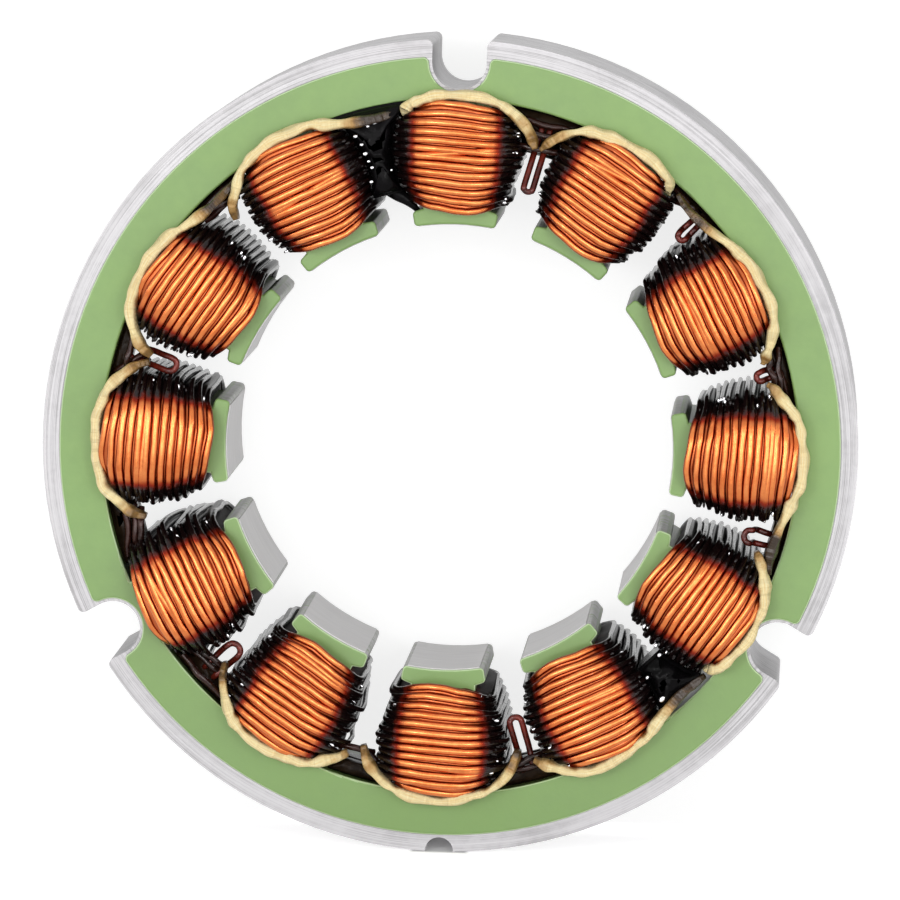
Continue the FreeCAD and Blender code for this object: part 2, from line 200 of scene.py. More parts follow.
class Piece:
    """One finished object under construction, gathered in millimetres at the +Y tooth."""

    def __init__(self, name: str, masks: Sequence[str] = ()) -> None:
        """Start empty.

        Args:
            name: Object name.
            masks: Names of the point values that the piece's material reads.
        """
        self.name = name
        self.bm = bmesh.new()
        self.masks = {mask: self.bm.verts.layers.float.new(mask) for mask in masks}

    def add(self, part: bmesh.types.BMesh | bpy.types.Mesh,
            **values: Callable[[Vector], float] | float) -> None:
        """Take in a part and set its point values.

        Args:
            part: Mesh or bmesh in millimetres; it is used up.
            values: For each mask, a number or a function of the point.
        """
        if isinstance(part, bmesh.types.BMesh):
            mesh = bpy.data.meshes.new("part")
            part.to_mesh(mesh)
            part.free()
        else:
            mesh = part
        known = len(self.bm.verts)
        self.bm.from_mesh(mesh)
        bpy.data.meshes.remove(mesh)
        self.bm.verts.ensure_lookup_table()
        for mask, rule in values.items():
            layer = self.masks[mask]
            for vertex in self.bm.verts[known:]:
                vertex[layer] = rule(vertex.co) if callable(rule) else rule

    def finish(self, position: float, material: Material, slot: Slot, *nodes: str) -> None:
        """Turn the piece to its place and put it on the frame, riding on the root body.

        Args:
            position: Tooth position, see turn_about_axis.
            material: Its finish.
            slot: Record slot of that finish; not used.
            nodes: Nodes of the frame that it stands for.
        """
        for face in self.bm.faces:
            face.smooth = True
        mesh = bpy.data.meshes.new(self.name)
        self.bm.to_mesh(mesh)
        self.bm.free()
        mesh.transform(turn_about_axis(position) @ Matrix.Scale(MM, 4))
        mesh.materials.append(material)
        thing = placed(self.name, mesh)
        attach(thing, "root")
        if nodes:
            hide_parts(*nodes)
        log.info("%s: %d faces", self.name, len(mesh.polygons))


class Nodes:
    """Short way to write a node tree, of a material, a world or a node group."""

    def __init__(self, tree: bpy.types.NodeTree) -> None:
        """Keep the tree that the nodes go into."""
        self.tree = tree

    @classmethod
    def empty(cls, owner: Material | bpy.types.World) -> "Nodes":
        """Clear the node tree of a material or a world.

        Args:
            owner: The material or world.

        Returns:
            Its tree, without nodes.
        """
        owner.use_nodes = True
        owner.node_tree.nodes.clear()
        return cls(owner.node_tree)

    def put(self, kind: str, *inputs: object, out: int | str = 0, **settings: object) -> Socket:
        """Add a node.

        Args:
            kind: Node type without its ShaderNode prefix.
            inputs: Values or sockets for its inputs in order; None leaves one as it is.
            out: Output that is wanted.
            settings: Properties of the node.

        Returns:
            The wanted output socket.
        """
        node = self.tree.nodes.new("ShaderNode" + kind)
        for name, value in settings.items():
            setattr(node, name, value)
        sockets = [socket for socket in node.inputs if socket.enabled]
        for socket, value in zip(sockets, inputs):
            self.feed(socket, value)
        return node.outputs[out]

    def feed(self, socket: Socket, value: object) -> None:
        """Link a socket, or set a plain value on it.

        Args:
            socket: Input that is fed.
            value: Socket, number or colour; None leaves the input as it is.
        """
        if value is None:
            return
        if isinstance(value, Socket):
            self.tree.links.new(value, socket)
        elif isinstance(value, tuple) and len(value) == 3 and socket.type == "RGBA":
            socket.default_value = (*value, 1.0)
        else:
            socket.default_value = value

    def show(self, shader: Socket, kind: str = "OutputMaterial") -> None:
        """Make a shader what the tree gives."""
        self.feed(self.tree.nodes.new("ShaderNode" + kind).inputs[0], shader)

    def maths(self, what: str, *inputs: object) -> Socket:
        """Math node."""
        return self.put("Math", *inputs, operation=what)

    def times(self, first: object, second: object) -> Socket:
        """Product of two values."""
        return self.maths("MULTIPLY", first, second)

    def blend(self, share: object, first: object, second: object) -> Socket:
        """Mix two colours.

        Args:
            share: How much of the second colour shows, 0 to 1.
            first: Colour or socket.
            second: Colour or socket.

        Returns:
            The mixed colour.
        """
        node = self.tree.nodes.new("ShaderNodeMix")
        node.data_type = "RGBA"
        colours = [socket for socket in node.inputs if socket.type == "RGBA"]
        self.feed(node.inputs[0], share)
        self.feed(colours[0], first)
        self.feed(colours[1], second)
        return next(socket for socket in node.outputs if socket.type == "RGBA")

    def span(self, value: object, low: float, high: float,
             to_low: float = 0.0, to_high: float = 1.0) -> Socket:
        """Smooth Map Range node."""
        return self.put("MapRange", value, low, high, to_low, to_high, interpolation_type="SMOOTHSTEP")

    def place(self) -> Socket:
        """Object coordinates."""
        return self.put("TexCoord", out="Object")

    def split(self, vector: Socket) -> Sequence[Socket]:
        """X, Y and Z of a vector."""
        return self.put("SeparateXYZ", vector).node.outputs

    def stored(self, name: str) -> Socket:
        """Value that a piece's points carry."""
        return self.put("Attribute", out="Fac", attribute_name=name)

    def ray(self, kind: str) -> Socket:
        """Whether a ray is of a kind, such as Camera."""
        return self.put("LightPath", out=f"Is {kind} Ray")

    def seen(self) -> Socket:
        """1 for camera, glossy and transmission rays, which see the studio as white."""
        mirrored = self.maths("MAXIMUM", self.ray("Glossy"), self.ray("Transmission"))
        return self.maths("MAXIMUM", self.ray("Camera"), mirrored)


def fill_mottle(nodes: Nodes, given: Given) -> Socket:
    """Two scales of soft noise in one value round a half.

    Args:
        nodes: Tree of the group.
        given: Scale of the noise.

    Returns:
        The value.
    """
    broad = nodes.put("TexNoise", nodes.place(), given["Scale"], 3.0, 0.6)
    fine = nodes.put("TexNoise", nodes.place(), nodes.times(given["Scale"], 7.0), 2.0, 0.5)
    mixed = nodes.maths("ADD", nodes.times(broad, 0.7), nodes.times(fine, 0.3))
    return nodes.span(mixed, 0.3, 0.7)


def fill_lip(nodes: Nodes, given: Given) -> Socket:
    """How far the surface has turned away from an end face, 0 flat to 1 upright."""
    flat = nodes.maths("ABSOLUTE", nodes.split(nodes.put("NewGeometry", out="Normal"))[2])
    return nodes.span(flat, given["Flat"], given["Steep"])


def fill_radius(nodes: Nodes, _: Given) -> Socket:
    """Distance from the motor axis in millimetres."""
    squares = [nodes.times(axis, axis) for axis in nodes.split(nodes.place())[:2]]
    return nodes.times(nodes.maths("SQRT", nodes.maths("ADD", *squares)), 1 / MM)


def fill_sheets(nodes: Nodes, given: Given) -> Socket:
    """Rough edges of the stacked sheets, in layers along the motor axis.

    Args:
        nodes: Tree of the group.
        given: Sheet, the thickness of one sheet in millimetres.

    Returns:
        The value.
    """
    scales = (240.0, 240.0, nodes.maths("DIVIDE", 1600.0, given["Sheet"]))
    layer = [nodes.times(axis, scale) for axis, scale in zip(nodes.split(nodes.place()), scales)]
    return nodes.put("TexNoise", nodes.put("CombineXYZ", *layer), 1.0, 3.0, 0.65)


class Effect:
    """Node group that several finishes share, with one value as its output."""

    def __init__(self, name: str, fill: Callable[[Nodes, Given], Socket], **inputs: float) -> None:
        """Build the group.

        Args:
            name: Name of the group.
            fill: Function that adds the nodes and returns the value.
            inputs: Its inputs with their usual values.
        """
        self.tree = bpy.data.node_groups.new(name, "ShaderNodeTree")
        sockets = self.tree.interface.new_socket
        for label, value in inputs.items():
            sockets(label, in_out="INPUT", socket_type="NodeSocketFloat").default_value = value
        sockets("Value", in_out="OUTPUT", socket_type="NodeSocketFloat")
        source, sink = (self.tree.nodes.new("NodeGroup" + end) for end in ("Input", "Output"))
        value = fill(Nodes(self.tree), {socket.name: socket for socket in source.outputs})
        self.tree.links.new(value, sink.inputs[0])

    def __call__(self, nodes: Nodes, **values: object) -> Socket:
        """Place the group in a tree.

        Args:
            nodes: Tree that it goes into.
            values: Numbers or sockets for its inputs, by name.

        Returns:
            Its output.
        """
        node = nodes.tree.nodes.new("ShaderNodeGroup")
        node.node_tree = self.tree
        for label, value in values.items():
            nodes.feed(node.inputs[label], value)
        return node.outputs[0]


MOTTLE = Effect("Mottle", fill_mottle, Scale=200.0)
LIP = Effect("Turned edge", fill_lip, Flat=0.995, Steep=0.75)
RADIUS = Effect("Radius", fill_radius)
SHEETS = Effect("Sheet edges", fill_sheets, Sheet=0.35)


class Finish:
    """A material with one Principled shader, filled by its subclass."""

    title = "Finish"

    def material(self) -> Material:
        """Build the material.

        Returns:
            The new material.
        """
        made = bpy.data.materials.new(self.title)
        nodes = Nodes.empty(made)
        shader = nodes.tree.nodes.new("ShaderNodeBsdfPrincipled")
        nodes.show(shader.outputs[0])
        for label, value in self.inputs(nodes).items():
            nodes.feed(shader.inputs[label], value)
        return made

    def inputs(self, nodes: Nodes) -> dict[str, object]:
        """Values and sockets for the shader's inputs, by name."""
        raise NotImplementedError

    def bump(self, nodes: Nodes, height: object, depth: float, strength: float) -> Socket:
        """Add a bump node.

        Args:
            nodes: Tree of the material.
            height: Socket with the height.
            depth: What a height of 1 is worth in metres.
            strength: How strongly it turns the normal.

        Returns:
            The normal.
        """
        node = nodes.put("Bump").node
        for label, value in (("Height", height), ("Strength", strength), ("Distance", depth)):
            nodes.feed(node.inputs[label], value)
        return node.outputs[0]


@dataclass(frozen=True)
class PowderCoat(Finish):
    """Green epoxy powder, with a painted highlight where it rounds an edge, and painted shade on upright
    walls and towards the bottom.
    """

    title: str = "Green powder coat"
    colour: Colour = (0.245, 0.405, 0.125)
    # Darker green for the mottle, and for painted shade towards the bottom and on upright walls.
    shade: Colour = (0.175, 0.305, 0.082)
    # Painted highlight on edges that turn away from the end faces.
    painted_edge_highlight: Colour = (0.66, 0.86, 0.50)
    # Painted shade on upright walls.
    wall: Colour = (0.045, 0.055, 0.016)
    worn: Colour = (0.36, 0.35, 0.35)
    yoke_wall: float = 26.6
    shoe_face: float = 17.05

    def inputs(self, nodes: Nodes) -> dict[str, object]:
        """Mottled green with painted shade towards the bottom, painted highlights on the edges, painted shade
        on upright walls, worn thin to the sheets beside the bore.

        Args:
            nodes: Tree of the material.

        Returns:
            Values and sockets for the shader's inputs, by name.
        """
        mottle = MOTTLE(nodes, Scale=120.0)
        edge = LIP(nodes, Flat=0.985, Steep=0.75)
        # Upright surfaces, which take painted shade.
        upright = LIP(nodes, Flat=0.50, Steep=0.12)
        radius = RADIUS(nodes)
        y = nodes.split(nodes.place())[1]
        even = nodes.maths("ADD", 0.35, nodes.times(mottle, 0.65))
        # Painted shade: the green turns darker towards the bottom (-Y), on top of its mottle.
        mottle_and_painted_shade = nodes.times(even, nodes.span(y, -0.030, 0.002, 0.30, 1.0))
        body = nodes.blend(mottle_and_painted_shade, self.shade, self.colour)
        beside_coils = nodes.span(radius, self.yoke_wall + 0.4, self.yoke_wall)
        # Beside the windings in the upper half, the painted edge highlight is mostly left out, as these edges
        # lie in shade.
        filled = nodes.times(beside_coils, nodes.span(y, -0.004, 0.004))
        rounded = nodes.blend(nodes.times(edge, nodes.span(filled, 0.0, 1.0, 0.9, 0.1)), body, self.painted_edge_highlight)
        sheets = SHEETS(nodes)
        shoe = nodes.span(radius, self.shoe_face + 0.2, self.shoe_face)
        thin = nodes.times(shoe, nodes.span(sheets, 0.40, 0.50))
        # Upright walls take painted shade, mottled with the darker green; beside the bore they are worn thin
        # to the sheets.
        walls = nodes.blend(thin, nodes.blend(mottle, self.wall, self.shade), self.worn)
        peel = nodes.put("TexNoise", nodes.place(), 2600.0, 2.0, 0.5)
        return {
            "Base Color": nodes.blend(upright, rounded, walls),
            "Roughness": nodes.span(mottle, 0.0, 1.0, 0.42, 0.52),
            "Coat Weight": 0.25,
            "Coat Roughness": 0.25,
            "Normal": self.bump(nodes, peel, 0.00002, 0.5),
        }


@dataclass(frozen=True)
class LaminatedSteel(Finish):
    """Bonded electrical steel: turned faces, and sheet edges on upright walls."""

    title: str = "Laminated steel"
    colour: Colour = (0.350, 0.342, 0.350)
    dark: Colour = (0.250, 0.244, 0.248)
    bore: Colour = (0.50, 0.49, 0.49)
    sheet: float = 0.35
    bore_wall: float = 16.5

    def inputs(self, nodes: Nodes) -> dict[str, object]:
        """Sheet edges along the axis on walls, fine rings on the end faces, a paler bore.

        Args:
            nodes: Tree of the material.

        Returns:
            Values and sockets for the shader's inputs, by name.
        """
        x, y, _ = nodes.split(nodes.place())
        radius = RADIUS(nodes)
        rings = nodes.put("CombineXYZ", nodes.times(radius, 14.0), nodes.times(x, 60.0), nodes.times(y, 60.0))
        turned = nodes.put("TexNoise", rings, 1.0, 2.0, 0.6)
        sheets = SHEETS(nodes, Sheet=self.sheet)
        wall = LIP(nodes, Flat=0.9, Steep=0.4)
        grain = nodes.put("Mix", wall, turned, sheets)
        mottle = MOTTLE(nodes, Scale=260.0)
        tone = nodes.maths("ADD", nodes.times(grain, 0.8), nodes.times(mottle, 0.2))
        outside = nodes.blend(nodes.span(tone, 0.25, 0.6), self.dark, self.colour)
        in_bore = nodes.span(radius, self.bore_wall + 0.5, self.bore_wall)
        return {
            "Base Color": nodes.blend(in_bore, outside, self.bore),
            "Metallic": nodes.span(radius, self.bore_wall, self.bore_wall + 0.5, 0.55, 1.0),
            "Roughness": nodes.span(grain, 0.3, 0.7, 0.52, 0.36),
            "Normal": self.bump(nodes, grain, 0.00003, 0.35),
        }


@dataclass(frozen=True)
class EnamelledWire(Finish):
    """Copper under clear enamel on the crowns; dark varnish and painted shade at the sides and deep in the
    slots, painted shade in the creases, and some beads painted white as glints.
    """

    title: str = "Enamelled copper wire"
    copper: Colour = (0.62, 0.145, 0.030)
    pale: Colour = (0.78, 0.250, 0.072)
    # Painted shade in the creases between wires.
    groove: Colour = (0.30, 0.020, 0.004)
    # Dark red between copper and black: varnish and painted shade.
    dark_red_varnish_and_shade: Colour = (0.26, 0.020, 0.006)
    # Dark varnish together with painted shade.
    black: Colour = (0.007, 0.003, 0.003)
    # Painted glint: white metal on some beads.
    glint: Colour = (0.93, 0.93, 0.96)

    def inputs(self, nodes: Nodes) -> dict[str, object]:
        """Colours by how thick the varnish and painted shade are, which each winding stores in its points.

        Args:
            nodes: Tree of the material.

        Returns:
            Values and sockets for the shader's inputs, by name.
        """
        varnish, dull = nodes.stored("varnish"), nodes.stored("dull")
        mottle = MOTTLE(nodes, Scale=420.0)
        depth = nodes.maths("ADD", varnish, nodes.times(nodes.maths("SUBTRACT", mottle, 0.5), 0.16))
        # Painted shade: where a wire turns away from the end face, into the crease beside its neighbour, it
        # is darker red.
        groove = LIP(nodes, Flat=0.86, Steep=0.30)
        copper_with_painted_creases = nodes.blend(groove, nodes.blend(mottle, self.copper, self.pale), self.groove)
        # Red then black as the stored value grows: dark varnish and painted shade.
        warm = nodes.blend(nodes.span(depth, 0.10, 0.62), copper_with_painted_creases, self.dark_red_varnish_and_shade)
        base = nodes.blend(nodes.span(depth, 0.50, 0.95), warm, self.black)
        # A dull of -1 marks a bead painted white as a glint.
        shine = nodes.span(dull, -0.5, -0.9)
        lumps = nodes.put("TexNoise", nodes.place(), 2200.0, 2.0, 0.5)
        thick = nodes.span(depth, 0.4, 0.9)
        gloss = nodes.span(depth, 0.3, 0.9, 0.26, 0.15)
        return {
            "Base Color": nodes.blend(shine, base, self.glint),
            "Metallic": nodes.maths("MAXIMUM", nodes.span(depth, 0.45, 0.95, 1.0, 0.0), shine),
            "Roughness": nodes.maths("MAXIMUM", gloss, nodes.times(dull, 0.85)),
            "Specular IOR Level": 0.30,
            "Coat Weight": nodes.span(depth, 0.2, 0.7, 0.35, 0.0),
            "Coat Roughness": 0.12,
            "Normal": self.bump(nodes, nodes.times(lumps, thick), 0.00010, 0.6),
        }


@dataclass(frozen=True)
class WovenTape(Finish):
    """Cream cotton tape with lengthwise threads, soaked brown where it enters a slot."""

    title: str = "Cream woven tape"
    cream: Colour = (0.97, 0.86, 0.52)
    thread: Colour = (0.90, 0.71, 0.34)
    tan: Colour = (0.52, 0.29, 0.085)
    soaked: Colour = (0.035, 0.018, 0.008)

    def inputs(self, nodes: Nodes) -> dict[str, object]:
        """Threads follow the piece's own map: u along the tape, v round it.

        Args:
            nodes: Tree of the material.

        Returns:
            Values and sockets for the shader's inputs, by name.
        """
        run = nodes.put("UVMap", uv_map="run")
        threads = nodes.put("TexNoise", nodes.put("Mapping", run, None, None, (0.5, 9.0, 1.0)), 1.0, 3.0, 0.6)
        weave = nodes.put("TexWave", run, 1.6, 1.5, 2.0, bands_direction="X")
        stain = MOTTLE(nodes, Scale=300.0)
        wet = nodes.maths("ADD", nodes.stored("soak"), nodes.times(nodes.maths("SUBTRACT", stain, 0.5), 0.3))
        dry = nodes.blend(nodes.span(threads, 0.42, 0.62), self.thread, self.cream)
        damp = nodes.blend(nodes.span(wet, 0.30, 0.75), dry, self.tan)
        relief = nodes.maths("ADD", threads, nodes.times(weave, 0.3))
        return {
            "Base Color": nodes.blend(nodes.span(wet, 0.60, 1.0), damp, self.soaked),
            "Roughness": nodes.span(wet, 0.2, 0.9, 0.75, 0.3),
            "Coat Weight": nodes.span(wet, 0.3, 0.9, 0.0, 0.2),
            "Coat Roughness": 0.2,
            "Normal": self.bump(nodes, relief, 0.00006, 0.7),
        }


@dataclass(frozen=True)
class RedEnamel(Finish):
    """Dark red enamel of the link wires."""

    title: str = "Dark red enamelled link"
    colour: Colour = (0.20, 0.022, 0.012)
    dark: Colour = (0.028, 0.005, 0.004)

    def inputs(self, nodes: Nodes) -> dict[str, object]:
        """Uneven enamel over copper.

        Args:
            nodes: Tree of the material.

        Returns:
            Values and sockets for the shader's inputs, by name.
        """
        mottle = MOTTLE(nodes, Scale=600.0)
        return {
            "Base Color": nodes.blend(mottle, self.dark, self.colour),
            "Metallic": 0.2,
            "Roughness": nodes.span(mottle, 0.0, 1.0, 0.14, 0.26),
            "Specular IOR Level": 0.4,
            "Normal": self.bump(nodes, mottle, 0.00004, 0.4),
        }


@dataclass(frozen=True)
class BlackFill(Finish):
    """Glossy black varnish of the filled slots."""

    title: str = "Black varnish fill"
    colour: Colour = (0.002, 0.002, 0.002)
    haze: Colour = (0.006, 0.005, 0.006)
    # Painted glint: white metal on beads.
    shine: Colour = (0.93, 0.93, 0.96)

    def inputs(self, nodes: Nodes) -> dict[str, object]:
        """Set skin with shallow lumps, and beads painted white as glints.

        Args:
            nodes: Tree of the material.

        Returns:
            Values and sockets for the shader's inputs, by name.
        """
        mottle = MOTTLE(nodes, Scale=350.0)
        lumps = nodes.put("TexNoise", nodes.place(), 900.0, 3.0, 0.5)
        glint = nodes.stored("glint")
        return {
            "Base Color": nodes.blend(glint, nodes.blend(mottle, self.colour, self.haze), self.shine),
            "Metallic": glint,
            "Roughness": nodes.span(mottle, 0.0, 1.0, 0.14, 0.30),
            "Specular IOR Level": 0.06,
            "Normal": self.bump(nodes, lumps, 0.00025, 0.5),
        }


@dataclass
class DressedFrame:
    """The lamination stack and the coat, kept from the frame."""

    finishes: dict[str, Finish] = field(default_factory=lambda: {
        "lamination_stack": LaminatedSteel(), "insulation_coat": PowderCoat()})

    def dress(self) -> None:
        """Give both nodes their material."""
        for node, finish in self.finishes.items():
            made = finish.material()
            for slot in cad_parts[node].material_slots:
                slot.material = made
            log.info("%s dressed", node)


@dataclass(frozen=True)
class Swell:
    """The law of a winding's thickness, shared by its layers and by what lies round it."""

    inner: float = 17.65
    outer: float = 25.3
    half_width: float = 4.75
    half_height: float = 10.3
    middle: float = 7.0
    fullest: float = 0.6
    shoe_taper: float = 1.3
    yoke_taper: float = 1.3

    def shrink(self, share: float) -> float:
        """Inward move of the outline.

        Args:
            share: Share of the way from shoe to yoke.

        Returns:
            The move in millimetres.
        """
        if share < self.fullest:
            return self.shoe_taper * (1 - share / self.fullest) ** 2
        return self.yoke_taper * ((share - self.fullest) / (1 - self.fullest)) ** 4

    def radius(self, share: float) -> float:
        """Distance from the motor axis at a share of the way from shoe to yoke."""
        return self.inner + share * (self.outer - self.inner)

    def share(self, radius: float) -> float:
        """Share of the way from shoe to yoke at a distance from the motor axis."""
        return unit((radius - self.inner) / (self.outer - self.inner))

    def halves(self, move: float) -> tuple[float, float]:
        """Half width and half height of the outline, moved in."""
        return self.half_width - move, self.half_height - move

    def gap(self, share: float) -> tuple[float, float]:
        """Free slot beside the winding.

        Args:
            share: Share of the way from shoe to yoke.

        Returns:
            Distance from the motor axis and half width of the slot there.
        """
        y, w = self.radius(share), self.half_width - self.shrink(share)
        return (y * math.cos(HALF_STEP) + w * math.sin(HALF_STEP),
                y * math.sin(HALF_STEP) - w * math.cos(HALF_STEP))


@dataclass
class Winding:
    """One tooth's winding: a wound outer layer, a second layer and a core both darker as painted shade, and a
    stray turn.
    """

    number: int
    loose_left: float = 0.5
    loose_right: float = 0.5
    turns: int = 13
    wire: float = 0.56
    corner: float = 2.3
    flat: float = 1.0
    shoe_bow: float = -0.7
    yoke_bow: float = 0.65
    arch: float = 0.70
    bead_count: int = 34
    swell: Swell = field(default_factory=Swell)

    def __post_init__(self) -> None:
        """Draw this winding's own unevenness, the same on every run."""
        self.dice = random.Random(410 + self.number)
        even = self.dice.uniform
        loose = (self.loose_left, self.loose_right)
        self.shift = [tuple(even(-0.05, 0.05) + even(-0.22, 0.22) * part for part in loose)
                      for _ in range(self.turns)]
        self.flare = [tuple(even(-0.1, 0.15) + even(-0.1, 0.6) * part for part in loose)
                      for _ in range(self.turns)]

    def bow(self, share: float) -> float:
        """How far the middle of a crown bends along the tooth.

        Args:
            share: Share of the way from shoe to yoke.

        Returns:
            The bend in millimetres, negative to the bore.
        """
        if share < 0.5:
            return self.shoe_bow * (1 - share / 0.5) ** 1.5
        return self.yoke_bow * ((share - 0.5) / 0.5) ** 1.6

    def loop(self) -> list[Point]:
        """The smallest turn round the tooth, from the rear crown's middle.

        Returns:
            Tuples of across, along the axis, and share of the turn's advance.
        """
        r, flat = self.corner, self.flat
        half = flat + r

        def line(x0: float, z0: float, x1: float, z1: float, steps: int) -> list[tuple[float, float]]:
            """Points of a straight run."""
            return [(x0 + (x1 - x0) * k / steps, z0 + (z1 - z0) * k / steps) for k in range(steps)]

        def bend(cx: float, cz: float, start: float, steps: int) -> list[tuple[float, float]]:
            """Points of a corner round a centre."""
            angles = (start + math.pi / 2 * k / steps for k in range(steps))
            return [(cx + r * math.cos(a), cz + r * math.sin(a)) for a in angles]

        runs = (
            (0.1, line(0, -half, flat, -half, 3)), (0.05, bend(flat, -flat, -math.pi / 2, 5)),
            (0.1, line(half, -flat, half, flat, 4)), (0.05, bend(flat, flat, 0, 7)),
            (0.4, line(flat, half, -flat, half, 10)), (0.05, bend(-flat, flat, math.pi / 2, 7)),
            (0.1, line(-half, flat, -half, -flat, 4)), (0.05, bend(-flat, -flat, math.pi, 5)),
            (0.1, line(-flat, -half, 0, -half, 3)),
        )
        points, done = [], 0.0
        for part, places in runs:
            points += [(x, z, done + part * k / len(places)) for k, (x, z) in enumerate(places)]
            done += part
        return points

    def stretched(self, value: float, half: float) -> float:
        """Carry a coordinate of the smallest turn to a turn of another half size."""
        more = half - self.flat - self.corner
        return value + (math.copysign(more, value) if abs(value) > self.flat else value / self.flat * more)

    def layer(self, depth: float, start: float, rough: float) -> list[Vector]:
        """Centre line of one wound layer.

        Args:
            depth: How far it lies under the outside of the winding.
            start: Shift along the tooth, in turns.
            rough: How uneven it is laid, 1 for the outer layer.

        Returns:
            Points in millimetres.
        """
        law, half = self.swell, self.wire / 2
        length = law.outer - law.inner - self.wire
        path: list[Vector] = []
        for turn in range(self.turns if start == 0 else self.turns - 1):
            left, right = self.shift[turn]
            wide_left, wide_right = self.flare[turn]
            for x, z, advance in self.loop():
                share = (turn + start + advance) / self.turns
                w, h = law.halves(law.shrink(share) + depth + half)
                x, z = self.stretched(x, w), self.stretched(z, h)
                front = smooth(-h * 1.1, h * 0.5, z)
                side = x / w
                crown = max(0.0, 1 - side * side) * smooth(h - self.corner, h, z)
                lean = (right if x > 0 else left) * side * side * front * rough
                wide = (wide_right if x > 0 else wide_left) * side ** 4 * front * rough
                y = law.inner + half + length * share + self.bow(share) * crown + lean
                y += 0.05 * rough * ripple(x * 0.8, turn * 3.7, self.number * 5.1)
                wide += 0.16 * rough * side ** 4 * ripple(z * 0.55, turn * 1.9, self.number * 2.7)
                z -= math.copysign(self.arch * side * side * smooth(h * 0.3, h * 0.9, abs(z)), z)
                z += 0.12 * crown + 0.05 * rough * ripple(x * 0.7, turn * 2.3, 40 + self.number)
                path.append(Vector((x + math.copysign(wide, x), y, z + law.middle)))
        return path

    def stray(self, share: float, drift: float) -> list[Vector]:
        """One turn that crosses its neighbours on the front crown.

        Args:
            share: Where it starts, of the way from shoe to yoke.
            drift: How far it moves along the tooth on its way over.

        Returns:
            Points in millimetres.
        """
        law = self.swell
        points = []
        for k in range(41):
            q = -1 + k / 20
            here = share + drift * smooth(-0.8, 0.8, q) / (law.outer - law.inner)
            w, h = law.halves(law.shrink(unit(here)) + self.wire * 0.35)
            angle = math.pi / 2 * unit((abs(q) - 0.45) / 0.35)
            down = max(0.0, abs(q) - 0.8) / 0.2 * 4.0
            x = math.copysign(min(abs(q) / 0.45, 1.0) * (w - self.corner) + self.corner * math.sin(angle), q)
            z = h - self.corner * (1 - math.cos(angle)) - down - self.arch * (x / w) ** 2
            y = law.radius(here) + self.bow(here) * (1 - (x / w) ** 2)
            points.append(Vector((x - 0.1 * math.copysign(down, x), y, z + law.middle)))
        return points

    def core(self) -> bmesh.types.BMesh:
        """Closed body under the layers, which build makes dark as painted shade.

        Returns:
            Its bmesh in millimetres.
        """
        law, rings = self.swell, []
        for k in range(13):
            share = k / 12
            w, h = law.halves(law.shrink(share))
            w, h = w - self.wire * 0.62, h - self.wire * 1.3
            y = law.inner + self.wire + share * (law.outer - law.inner - self.wire * 2)
            ring = []
            for x, z, _ in self.loop()[::2]:
                x, z = self.stretched(x, w), self.stretched(z, h)
                crown = max(0.0, 1 - (x / w) ** 2) * smooth(h - self.corner, h, z)
                z -= math.copysign(self.arch * (x / w) ** 2 * smooth(h * 0.3, h * 0.9, abs(z)), z)
                ring.append(Vector((x, y + self.bow(share) * crown, z + law.middle)))
            rings.append(ring)
        return loft(rings)

    def girth(self, point: Vector) -> float:
        """Share of a wire's diameter that stands out of the varnish at a point."""
        w = self.swell.half_width - self.swell.shrink(self.swell.share(point.y))
        return 1 - 0.34 * smooth(w - 1.5, w - 0.4, abs(point.x))

    def varnish(self, point: Vector) -> float:
        """How dark the winding is at a point, from dark varnish and painted shade.

        Args:
            point: Point on the winding in millimetres.

        Returns:
            0 where it is bare to 1 where it is black.
        """
        law = self.swell
        reach = abs(point.x) + 0.22 * ripple(point.y * 1.9, self.number * 3.3, 1 if point.x > 0 else 9)
        start = 2.30 - 0.65 * max(0.0, 1 - law.share(point.y) / 0.45) ** 1.5
        crown = law.middle + law.half_height
        # Towards the flanks: dark varnish and painted shade; below the crown, down between the windings:
        # painted shade.
        return max(smooth(start, start + 1.5, reach), smooth(crown - 2.2, crown - 3.6, point.z))

    def beads(self) -> bmesh.types.BMesh:
        """Small beads of varnish that hang on the wires' shoulders; build paints some of them white as
        glints.

        Returns:
            Their bmesh in millimetres.
        """
        law, bm = self.swell, bmesh.new()
        for _ in range(self.bead_count):
            side = self.dice.choice((-1, 1))
            share = self.dice.uniform(0.05, 0.98)
            drop = self.dice.uniform(0.5, 1.9)
            w, h = law.halves(law.shrink(share))
            out = w - self.corner + math.sqrt(max(0.1, self.corner ** 2 - (self.corner - drop) ** 2)) - 0.12
            place = Matrix.Translation((side * out, law.radius(share), law.middle + h - self.arch - drop))
            bmesh.ops.create_icosphere(bm, subdivisions=2, radius=self.dice.uniform(0.08, 0.17),
                                       matrix=place @ Matrix.Diagonal((1.6, 0.8, 0.8, 1.0)))
        return bm

    def build(self, material: Material) -> None:
        """Build and place the winding.

        Args:
            material: Its finish, which reads varnish and dull; a dull of -1 marks a bead painted white as a
                glint.
        """
        piece = Piece(f"Winding_{self.number:02d}", ["varnish", "dull"])
        outer = tube_mesh([self.layer(0.0, 0.0, 1.0)], self.wire, 10, self.girth)
        piece.add(outer, varnish=self.varnish, dull=0.0)
        # The second layer and the core lie under the outer layer and are made darker: painted shade.
        second = tube_mesh([self.layer(self.wire * 0.62, 0.5, 0.6)], self.wire, 6)
        piece.add(second, varnish=lambda p: max(0.35, self.varnish(p)), dull=0.4)
        even = self.dice.uniform
        stray = self.stray(even(0.15, 0.85), self.dice.choice((-1, 1)) * even(0.35, 0.6))
        piece.add(tube_mesh([stray], self.wire * 0.9), varnish=self.varnish, dull=0.0)
